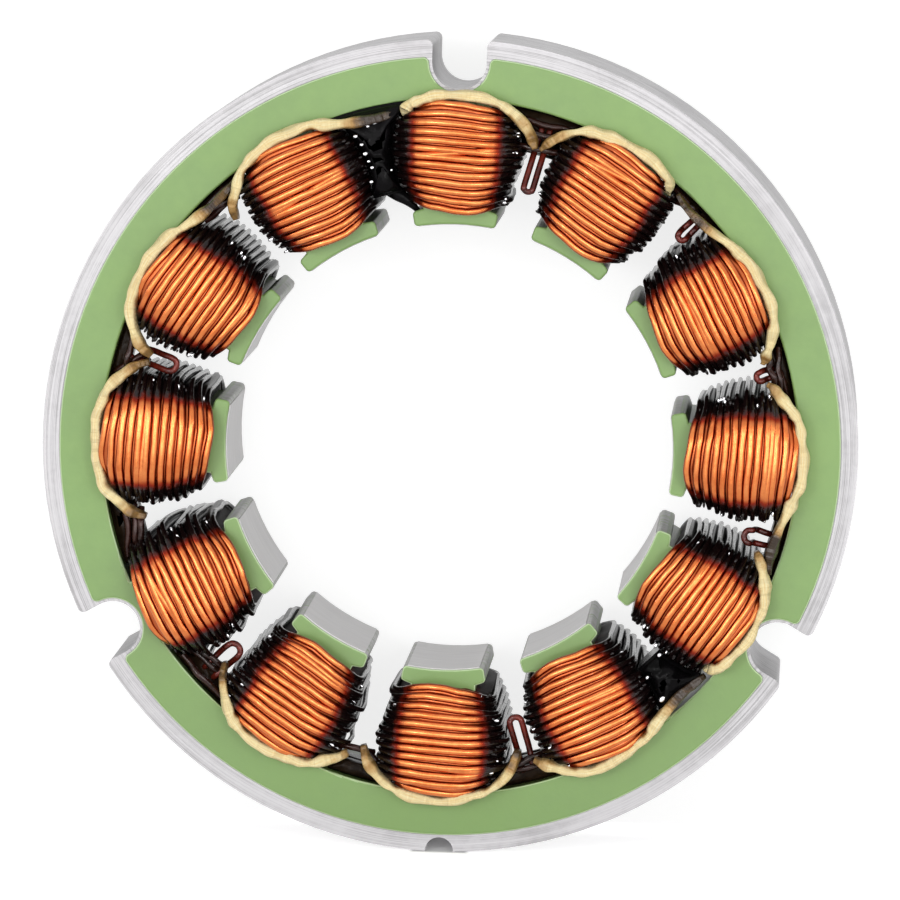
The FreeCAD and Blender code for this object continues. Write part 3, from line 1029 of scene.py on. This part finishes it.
        # Where the noise is high, a bead is painted white as a glint.
        piece.add(self.beads(), varnish=1.0,
                  dull=lambda p: -1.0 if ripple(p.y * 0.9, p.z * 0.9, self.number) > 0.2 else 0.0)
        piece.add(self.core(), varnish=lambda p: max(0.75, self.varnish(p)), dull=0.8)
        piece.finish(self.number - 1, material, Slot.COPPER, f"coil_{self.number:02d}")


class TapeEnd(Enum):
    """How a tape ends over a slot: points across it and from the motor axis, and their lift."""

    MIDDLE = ((-3.0, 25.2, 0.0), (-1.7, 24.55, -0.15), (-0.8, 23.8, -0.4), (-0.22, 22.9, -0.9))
    ALONG = ((-3.0, 25.2, 0.0), (-1.2, 24.9, -0.15), (0.5, 24.85, -0.35), (2.1, 25.05, -0.9))
    SHORT = ((-3.2, 25.3, 0.0), (-2.75, 24.85, -0.4), (-2.5, 24.3, -1.3))
    DIP = ((-3.0, 25.1, 0.0), (-2.0, 24.6, -0.15), (-1.2, 24.15, -0.4), (-0.75, 23.8, -0.9))

    def beside_tooth(self, side: int) -> list[Vector]:
        """Points seen from the tooth.

        Args:
            side: 1 for the slot clockwise of the tooth, -1 for the other.

        Returns:
            Points in millimetres, outwards from the tooth, their lift as z.
        """
        cos, sin = math.cos(HALF_STEP), math.sin(HALF_STEP)
        return [Vector((side * (x * cos + y * sin), y * cos - x * sin, lift)) for x, y, lift in self.value]


@dataclass
class CrossoverTape:
    """Folded tape on edge round the yoke side of one end turn, ending over both slots."""

    number: int
    left: TapeEnd
    right: TapeEnd
    thickness: float = 0.78
    height: float = 1.9
    level: float = 15.25
    sides: int = 18
    crest: tuple[tuple[float, float], ...] = (
        (-2.7, 25.52), (-1.5, 25.84), (0.0, 25.96), (1.6, 25.87), (2.8, 25.5))

    def path(self) -> list[Vector]:
        """Smooth, slightly wavy centre line.

        Returns:
            Points in millimetres.
        """
        points = self.left.beside_tooth(-1)[::-1] + [Vector((x, y, 0)) for x, y in self.crest]
        points += self.right.beside_tooth(1)
        wavy = []
        for k, point in enumerate(points):
            out = Vector((point.x * 0.5, point.y - 21.0, 0)).normalized()
            wave = 0.13 * ripple(k * 0.83, self.number * 2.9)
            wavy.append(point + out * wave + Vector((0, 0, self.level)))
        return flowing(wavy, 7)

    def ring(self, k: int, path: list[Vector]) -> list[Vector]:
        """Section of the band: rounded, grooved on top between its two plies, lobed along its run.

        Args:
            k: Number of the path's point that it goes round.
            path: Centre line.

        Returns:
            Points round the section.
        """
        point = path[k]
        ahead = path[min(k + 1, len(path) - 1)] - path[max(k - 1, 0)]
        across = Vector((ahead.y, -ahead.x, 0)).normalized()
        up = (Vector((0, 0, 1)) + across * 0.25 * ripple(k * 0.11, self.number * 1.7)).normalized()
        full = min(1.0, min(k, len(path) - 1 - k) / 8)
        tall = self.height / 2 * (0.75 + 0.25 * full) * (1 + 0.10 * ripple(k * 0.14, self.number * 3.1))
        thick = self.thickness / 2 * (0.55 + 0.45 * full) * (1 + 0.55 * ripple(k * 0.17, self.number * 2.2))
        groove = 0.18 + 0.12 * ripple(k * 0.2, self.number * 4.4)
        places = []
        for n in range(self.sides):
            a = 2 * math.pi * n / self.sides
            out, rise = math.cos(a), math.sin(a)
            dip = groove * math.exp(-(out / 0.3) ** 2) if rise > 0 else 0.0
            places.append(point + across * (thick * math.copysign(abs(out) ** 0.7, out))
                          + up * (tall * math.copysign(abs(rise) ** 0.6, rise) - dip))
        return places

    def build(self, material: Material) -> None:
        """Build and place the tape, soaked at its ends, and darker on its side towards the wires and along
        its lower edge.

        Args:
            material: Its finish, which reads soak and the map called run.
        """
        path = self.path()
        piece = Piece(f"Tape_{self.number:02d}", ["soak"])
        piece.add(loft([self.ring(k, path) for k in range(len(path))]))
        run, soak = piece.bm.loops.layers.uv.new("run"), piece.masks["soak"]
        piece.bm.verts.ensure_lookup_table()
        for index, vertex in enumerate(piece.bm.verts):
            ring, place = divmod(index, self.sides)
            slot_side = smooth(3.0, 6.6, abs(path[ring].x) + 0.6 * ripple(ring * 0.2, self.number * 2.0))
            # Soaked where it reaches over a slot; darker on the side towards the wires and along the lower
            # edge.
            inner = smooth(-0.55, 0.75, math.cos(2 * math.pi * place / self.sides))
            patches = 0.55 + 0.45 * ripple(ring * 0.16, self.number * 5.0)
            vertex[soak] = max(slot_side, inner * patches * 0.85, smooth(15.0, 14.0, vertex.co.z) * 0.7)
        piece.bm.verts.index_update()
        for face in piece.bm.faces:
            for corner in face.loops:
                ring, place = divmod(corner.vert.index, self.sides)
                corner[run].uv = (ring * 0.25, place * 0.3)
        piece.finish(self.number - 1, material, Slot.TAPE, f"crossover_tape_{self.number:02d}")


@dataclass
class LinkWire:
    """Hairpin of link wire that leaves the varnish at the yoke and stands out over a slot."""

    number: int
    slot: int
    low: float
    rise: float
    lean: float
    spread: float
    wire: float = 0.56
    bare: float = 0.46
    root_share: float = 0.89
    root_level: float = 12.8
    crown_level: float = 14.3
    swell: Swell = field(default_factory=Swell)

    def path(self) -> list[Vector]:
        """Centre line: up out of the varnish, round the bend and back.

        Returns:
            Points in millimetres.
        """
        half = self.wire * (0.6 + self.spread)
        bend = self.swell.gap(self.low)[0] + half
        root = self.swell.gap(self.root_share)[0]
        level, shift = self.crown_level + self.rise * self.wire, self.lean * self.wire
        middle = max(bend + 0.3, root - 1.85)
        side = [Vector((shift - half * 0.9, root, self.root_level)),
                Vector((shift - half * 0.9, root - 0.5, 13.62)), Vector((shift - half, middle, 13.75))]
        if middle - bend > 1.2:
            side.append(Vector((shift - half, (middle + bend) / 2, (13.9 + level) / 2)))
        turn = [Vector((shift + half * math.cos(a), bend + half * math.sin(a), level + 0.05))
                for a in (math.pi * (1 + k / 4) for k in range(5))]
        back = [Vector((2 * shift - p.x, p.y, p.z)) for p in reversed(side)]
        return flowing(side + turn + back, 6)

    def build(self, material: Material) -> None:
        """Build and place the link.

        Args:
            material: Its finish.
        """
        piece = Piece(f"Link_{self.number:02d}")
        piece.add(tube_mesh([self.path()], self.bare, 10))
        piece.finish(self.slot + 0.5, material, Slot.LINK, f"link_wire_{self.number:02d}")


@dataclass
class SlotFill:
    """Black varnish between two windings, lumpy on top: a poured fill, or what has run to the yoke, which
    also stands in as painted shade at the slot root.
    """

    name: str
    node: str
    slot: int
    low: float
    high: float
    bottom: float
    top: float
    drips: tuple[tuple[tuple[float, float, float, float], ...], ...] = ()
    # Beads painted white as glints.
    glints: tuple[Point, ...] = ()
    wall: float = 25.72
    bite: float = 0.12
    dome: float = 1.2
    lump: float = 0.30
    swell: Swell = field(default_factory=Swell)

    def body(self) -> bmesh.types.BMesh:
        """Straight walls under a lumpy dome, against both windings and the yoke.

        Returns:
            Its bmesh in millimetres.
        """
        shares = [self.low + (self.high - self.low) * k / 16 for k in range(17)]
        edge = [(free + self.bite, radius) for radius, free in map(self.swell.gap, shares)]
        across = [edge[-1][0] * part for part in (1.0, 0.6, 0.2, -0.2, -0.6, -1.0)]
        back = [(x, math.sqrt(self.wall ** 2 - x ** 2)) for x in across]
        outline = edge + back + [(-x, y) for x, y in reversed(edge)]
        middle = sum(y for _, y in edge) / len(edge)
        rings, dome = [], min(self.dome, (self.top - self.bottom) / 2)
        for k in range(17):
            lift = min(k, 8) / 8 * (self.top - self.bottom - dome)
            bend = math.pi / 2 * max(0, k - 8) / 8.6
            narrow, shorten = math.cos(bend) ** 0.8, math.cos(bend) ** 0.45
            level = self.bottom + lift + dome * math.sin(bend)
            ring = []
            for x, y in outline:
                lump = self.lump * ripple(x * 0.9 * narrow, y * 0.7, self.slot * 3.0) * smooth(0, 1, bend)
                ring.append(Vector((x * narrow, middle + (y - middle) * shorten, level + lump)))
            rings.append(ring)
        bm = loft(rings)
        bmesh.ops.triangulate(bm, faces=[face for face in bm.faces if len(face.verts) > 4])
        return bm

    def build(self, material: Material) -> None:
        """Build and place the fill with its beads and drips.

        Args:
            material: Its finish, which reads glint, the mark of beads painted white as glints.
        """
        piece = Piece(self.name, ["glint"])
        piece.add(self.body(), glint=0.0)
        for x, y, size in self.glints:
            bead = bmesh.new()
            place = Matrix.Translation((x, y, self.top - 0.08)) @ Matrix.Diagonal((1.5, 1.0, 0.9, 1.0))
            bmesh.ops.create_icosphere(bead, subdivisions=2, radius=size, matrix=place)
            piece.add(bead, glint=1.0)
        for drip in self.drips:
            line = flowing([Vector(point[:3]) for point in drip], 5)
            radii = flowing([Vector((point[3], 0, 0)) for point in drip], 5)
            size = {tuple(place): radius.x for place, radius in zip(line, radii)}
            piece.add(tube_mesh([line], 2.0, 12, lambda place: size[tuple(place)]), glint=0.0)
        piece.finish(self.slot + 0.5, material, Slot.POTTING, self.node)


@dataclass
class Leads:
    """Dark varnished wire ends that cross a slot near the yoke from one winding to the next."""

    slot: int
    lines: tuple[tuple[float, float, float, float], ...]
    wire: float = 0.5
    level: float = 13.55
    apart: float = 0.22
    arch: float = 0.45

    def build(self, material: Material) -> None:
        """Build and place the leads of one slot.

        Args:
            material: Their finish.
        """
        paths = []
        for k, (x0, y0, x1, y1) in enumerate(self.lines):
            level = self.level + self.apart * k
            points = []
            for step in range(6):
                t = step / 5
                sway = 0.22 * ripple(step * 0.9, self.slot * 3.1, k * 2.3)
                points.append(Vector((x0 + (x1 - x0) * t, y0 + (y1 - y0) * t + sway,
                                      level + self.arch * math.sin(math.pi * t) - 0.2 + sway)))
            paths.append(flowing(points, 5))
        piece = Piece(f"Leads_{self.slot + 1:02d}")
        piece.add(tube_mesh(paths, self.wire, 10))
        piece.finish(self.slot + 0.5, material, Slot.LINK)


@dataclass(frozen=True)
class Lamp:
    """Rectangular soft lamp aimed at the middle of the object, in metres and watts."""

    name: str
    place: Point
    size: tuple[float, float]
    power: float

    def hang(self) -> None:
        """Add the lamp to the scene."""
        light = bpy.data.lights.new(self.name, "AREA")
        light.shape = "RECTANGLE"
        light.size, light.size_y = self.size
        light.energy = self.power
        thing = placed(self.name, light)
        thing.location = self.place
        thing.rotation_euler = (Vector((0, 0, 0.01)) - Vector(self.place)).to_track_quat("-Z", "Y").to_euler()


@dataclass
class Studio:
    """Pale floor and ledge, soft lamps and the camera."""

    world_level: float = 0.36
    floor_glow: float = 0.80
    floor_side: float = 3.0
    ledge_width: float = 0.22
    ledge_lift: float = 0.0001
    ledge_top: float = 0.042
    ledge_y: float = -0.03003
    notch_half: float = 0.0018
    notch_top: float = 0.0138
    tilt: float = 6.39
    turn: float = 25.5
    roll: float = 1.5
    distance: float = 546.0
    lens: float = 297.2
    lamps: tuple[Lamp, ...] = (
        Lamp("Left softbox", (-0.225, 0.06, 0.56), (0.36, 0.66), 1.00),
        Lamp("Right softbox", (0.225, 0.04, 0.56), (0.36, 0.66), 0.90),
        Lamp("Left key", (-0.215, 0.08, 0.54), (0.16, 0.10), 0.42),
        Lamp("Right key", (0.215, 0.06, 0.54), (0.16, 0.10), 0.36),
        Lamp("Left strip", (-0.50, 0.10, 0.20), (0.015, 0.60), 0.25),
        Lamp("Right strip", (0.50, 0.10, 0.20), (0.015, 0.60), 0.25),
        Lamp("Top strip", (0.0, 0.60, 0.35), (0.6, 0.10), 0.15),
    )

    def world(self) -> None:
        """Even sky, seen as white."""
        world = bpy.data.worlds.new("Studio")
        bpy.context.scene.world = world
        nodes = Nodes.empty(world)
        sky, white = (nodes.put("Background", WHITE, level) for level in (self.world_level, 1.0))
        nodes.show(nodes.put("MixShader", nodes.seen(), sky, white), "OutputWorld")

    def plane(self, name: str, sides: tuple[float, float], place: Matrix,
              dress: Callable[[Nodes], Socket]) -> None:
        """Add a pale plane that belongs to the studio.

        Args:
            name: Name of the object.
            sides: Its sides along its own X and Y in metres.
            place: Where it goes.
            dress: Function that adds its material's nodes and returns the shader.
        """
        bm = bmesh.new()
        bmesh.ops.create_grid(bm, x_segments=1, y_segments=1, size=0.5)
        bmesh.ops.transform(bm, verts=bm.verts, matrix=place @ Matrix.Diagonal((*sides, 1.0, 1.0)))
        mesh = bpy.data.meshes.new(name)
        bm.to_mesh(mesh)
        bm.free()
        made = bpy.data.materials.new("Pale " + name.lower())
        nodes = Nodes.empty(made)
        nodes.show(dress(nodes))
        mesh.materials.append(made)
        placed(name, mesh)

    def floor_shader(self, nodes: Nodes) -> Socket:
        """White to the eye, and grey enough to keep the shadow."""
        glow = nodes.put("Emission", WHITE, nodes.times(nodes.seen(), self.floor_glow))
        return nodes.put("AddShader", nodes.put("BsdfDiffuse", (0.40, 0.40, 0.40), 0.5), glow)

    def ledge_shader(self, nodes: Nodes) -> Socket:
        """White away from the rim's shadow, with a painted shadow where it shows through the index notch, and
        clear from behind and in reflections.

        Args:
            nodes: Tree of the material.

        Returns:
            The shader.
        """
        low = cad_box[0][2] + self.ledge_lift
        x, _, z = nodes.split(nodes.place())
        off_middle = nodes.maths("ABSOLUTE", x)
        # Painted shadow: no glow where the ledge shows through the index notch.
        outside_painted_notch_shadow = nodes.maths("MAXIMUM", nodes.span(off_middle, self.notch_half, self.notch_half + 0.0005),
                               nodes.span(z, self.notch_top, self.notch_top + 0.001))
        # The glow is weaker near the rim, so the ledge is greyer there, where the rim's shadow falls.
        fade = nodes.maths("MAXIMUM", nodes.span(off_middle, 0.012, 0.028), nodes.span(z, 0.006, low))
        light = nodes.times(outside_painted_notch_shadow, nodes.span(fade, 0.0, 1.0, 0.62, 1.0))
        glow = nodes.put("Emission", WHITE, nodes.times(nodes.ray("Camera"), light))
        solid = nodes.put("AddShader", nodes.put("BsdfDiffuse", (0.75, 0.75, 0.75), 0.5), glow)
        clear = nodes.maths("MAXIMUM", nodes.put("NewGeometry", out="Backfacing"), nodes.ray("Glossy"))
        return nodes.put("MixShader", clear, solid, nodes.put("BsdfTransparent"))

    def ground(self) -> None:
        """Floor behind the object, and a ledge under its rim, seen only from above, for the shadow there."""
        low = cad_box[0][2]
        side = self.floor_side
        self.plane("Floor", (side, side), Matrix.Translation((0, 0, low)), self.floor_shader)
        low += self.ledge_lift
        place = Matrix.Translation((0, self.ledge_y, (low + self.ledge_top) / 2))
        self.plane("Ledge", (self.ledge_width, self.ledge_top - low),
                   place @ Matrix.Rotation(-math.pi / 2, 4, "X"), self.ledge_shader)

    def camera(self) -> None:
        """Camera that sees the front face as the photo does."""
        tilt, turn, roll = (math.radians(value) for value in (self.tilt, self.turn, self.roll))
        away = Vector((math.sin(tilt) * math.sin(turn), math.sin(tilt) * math.cos(turn), math.cos(tilt)))
        up = Vector((-math.sin(roll), math.cos(roll), 0))
        right = up.cross(away).normalized()
        upright = away.cross(right).normalized()
        target = (Vector((0, 0, 14)) + right * 0.05 - upright * 0.18) * MM
        data = bpy.data.cameras.new("Camera")
        data.lens, data.sensor_width = self.lens, 36.0
        data.clip_start, data.clip_end = 0.01, 20.0
        thing = placed("Camera", data)
        basis = Matrix((right, upright, away)).transposed().to_4x4()
        thing.matrix_world = Matrix.Translation(target + away * self.distance * MM) @ basis
        bpy.context.scene.camera = thing

    def build(self) -> None:
        """Set up the whole studio."""
        self.world()
        self.ground()
        for lamp in self.lamps:
            lamp.hang()
        self.camera()


# How loose the loops on both sides of a slot are: at the right of one winding and the left of the next.
LOOSE = ((0.6, 0.2), (0.5, 0.8), (0.4, 0.8), (0.3, 0.7), (0.3, 0.8), (0.6, 1.0),
         (0.4, 1.0), (0.7, 0.7), (1.0, 0.4), (1.0, 0.3), (0.7, 0.3), (0.4, 0.2))

# The two tape ends over each slot: of the tape before it, and of the one after it.
MIDDLE, ALONG, SHORT, DIP = TapeEnd
TAPE_ENDS = ((MIDDLE, MIDDLE), (SHORT, ALONG), (DIP, DIP), (ALONG, DIP), (SHORT, ALONG), (DIP, MIDDLE),
             (MIDDLE, DIP), (MIDDLE, SHORT), (SHORT, MIDDLE), (MIDDLE, MIDDLE), (ALONG, MIDDLE),
             (ALONG, SHORT))
UNTAPED = 9

# Slot, low, rise, lean and spread of each link wire.
LINKS = ((0, 0.22, 1.5, 0.25, 0.0), (1, 0.62, 0.5, 0.7, 0.0), (2, 0.66, 0.4, 0.2, 0.0),
         (3, 0.58, 1.0, -0.35, 0.3), (5, 0.30, 1.0, -0.15, 0.2), (7, 0.42, 1.0, 0.1, 0.4),
         (9, 0.36, 1.0, 0.1, 0.3))

# Both ends of each lead, across the slot and from the motor axis, by slot.
LEADS = {
    0: ((-2.4, 24.7, 2.4, 24.8), (-2.2, 23.7, 1.9, 24.1), (-1.7, 22.7, 1.9, 23.1)),
    1: ((-2.4, 25.1, 2.4, 25.0), (-2.2, 24.5, -0.2, 25.1)),
    2: ((-1.9, 24.6, 2.2, 25.1), (-1.6, 25.1, 2.3, 24.5), (-1.5, 24.3, 1.6, 24.3)),
    3: ((-2.4, 25.2, 2.3, 24.9), (-2.0, 24.8, 1.9, 25.2)),
    4: ((-1.4, 24.2, 1.9, 24.5),),
    5: ((-1.9, 24.4, 2.2, 24.5), (-1.5, 23.6, 1.6, 24.1)),
    6: ((-1.1, 23.4, 1.8, 23.6), (-2.2, 24.3, -0.4, 23.3)),
    7: ((-1.4, 23.8, 2.5, 24.3), (-0.4, 23.4, 2.3, 23.9), (-2.0, 25.0, 2.3, 25.0)),
    8: ((-2.4, 25.0, 1.6, 24.1), (-2.2, 24.3, 1.2, 23.6), (-2.0, 23.8, 0.9, 23.3)),
    9: ((-1.7, 25.2, 0.5, 23.1), (2.1, 25.3, -0.3, 23.0), (-2.2, 24.3, 1.9, 24.7)),
    10: ((-2.2, 24.9, 1.9, 25.3), (-1.6, 24.4, 1.8, 24.2), (-2.1, 25.3, 1.5, 24.0)),
}

# Points and radius along the tail of the fill in the last slot, and the beads painted white as glints on both
# fills.
TAIL = ((0.1, 19.8, 13.2, 0.75), (0.7, 19.0, 13.7, 0.55), (1.3, 18.3, 13.8, 0.36), (1.8, 17.5, 13.6, 0.2),
        (2.0, 16.8, 13.3, 0.08))
BEADS_01 = ((0.35, 24.6, 0.20), (-0.2, 24.4, 0.10), (-1.25, 23.9, 0.14), (-0.95, 23.2, 0.12),
            (-0.85, 22.5, 0.15), (-0.75, 21.9, 0.10), (-0.6, 21.4, 0.12), (0.75, 20.9, 0.08),
            (-0.9, 20.4, 0.12))
BEADS_02 = ((1.2, 24.1, 0.20), (0.9, 22.2, 0.12), (-0.9, 21.6, 0.14))
FILLED = (11, 4)

# How near the shoe the root varnish reaches in a slot, where it isn't the usual share.
ROOT_LOW = {0: 0.55, 5: 0.74, 7: 0.78, 8: 0.72}
USUAL_ROOT = 0.84


def build_fills() -> None:
    """Fill two slots, and put the root varnish, dark varnish that is also painted shade at the slot roots,
    into the others.
    """
    black = BlackFill().material()
    SlotFill("Fill_01", "slot_potting_01", 11, 0.14, 0.97, 8.0, 15.5, (TAIL,), BEADS_01).build(black)
    SlotFill("Fill_02", "slot_potting_02", 4, 0.42, 0.86, 10.0, 15.8, (), BEADS_02, 24.9).build(black)
    # Root varnish: dark varnish, and painted shade at the slot roots.
    brown = BlackFill("Brown black varnish", (0.010, 0.006, 0.004), (0.026, 0.015, 0.008)).material()
    for number, slot in enumerate((k for k in range(TEETH) if k not in FILLED), start=1):
        SlotFill(f"Root_varnish_{number:02d}", f"root_varnish_{number:02d}", slot,
                 ROOT_LOW.get(slot, USUAL_ROOT), 0.98, 9.75, 13.45).build(brown)


def main() -> None:
    """Build every piece in order, then the studio."""
    logging.basicConfig(level=logging.INFO, format="%(name)s: %(message)s")
    scene = bpy.context.scene
    scene.view_settings.view_transform = "Standard"
    DressedFrame().dress()
    wire, tape = EnamelledWire().material(), WovenTape().material()
    for number in range(1, TEETH + 1):
        Winding(number, loose_left=LOOSE[number - 2][1], loose_right=LOOSE[number - 1][0]).build(wire)
    for number in range(1, TEETH + 1):
        if number != UNTAPED:
            CrossoverTape(number, left=TAPE_ENDS[number - 2][1], right=TAPE_ENDS[number - 1][0]).build(tape)
    red = RedEnamel().material()
    for number, link in enumerate(LINKS, start=1):
        LinkWire(number, *link).build(red)
    dark_red = RedEnamel("Varnished lead", (0.045, 0.012, 0.008), (0.008, 0.004, 0.003)).material()
    for slot, lines in LEADS.items():
        Leads(slot, lines).build(dark_red)
    build_fills()
    Studio().build()


if __name__ == "__main__":
    main()
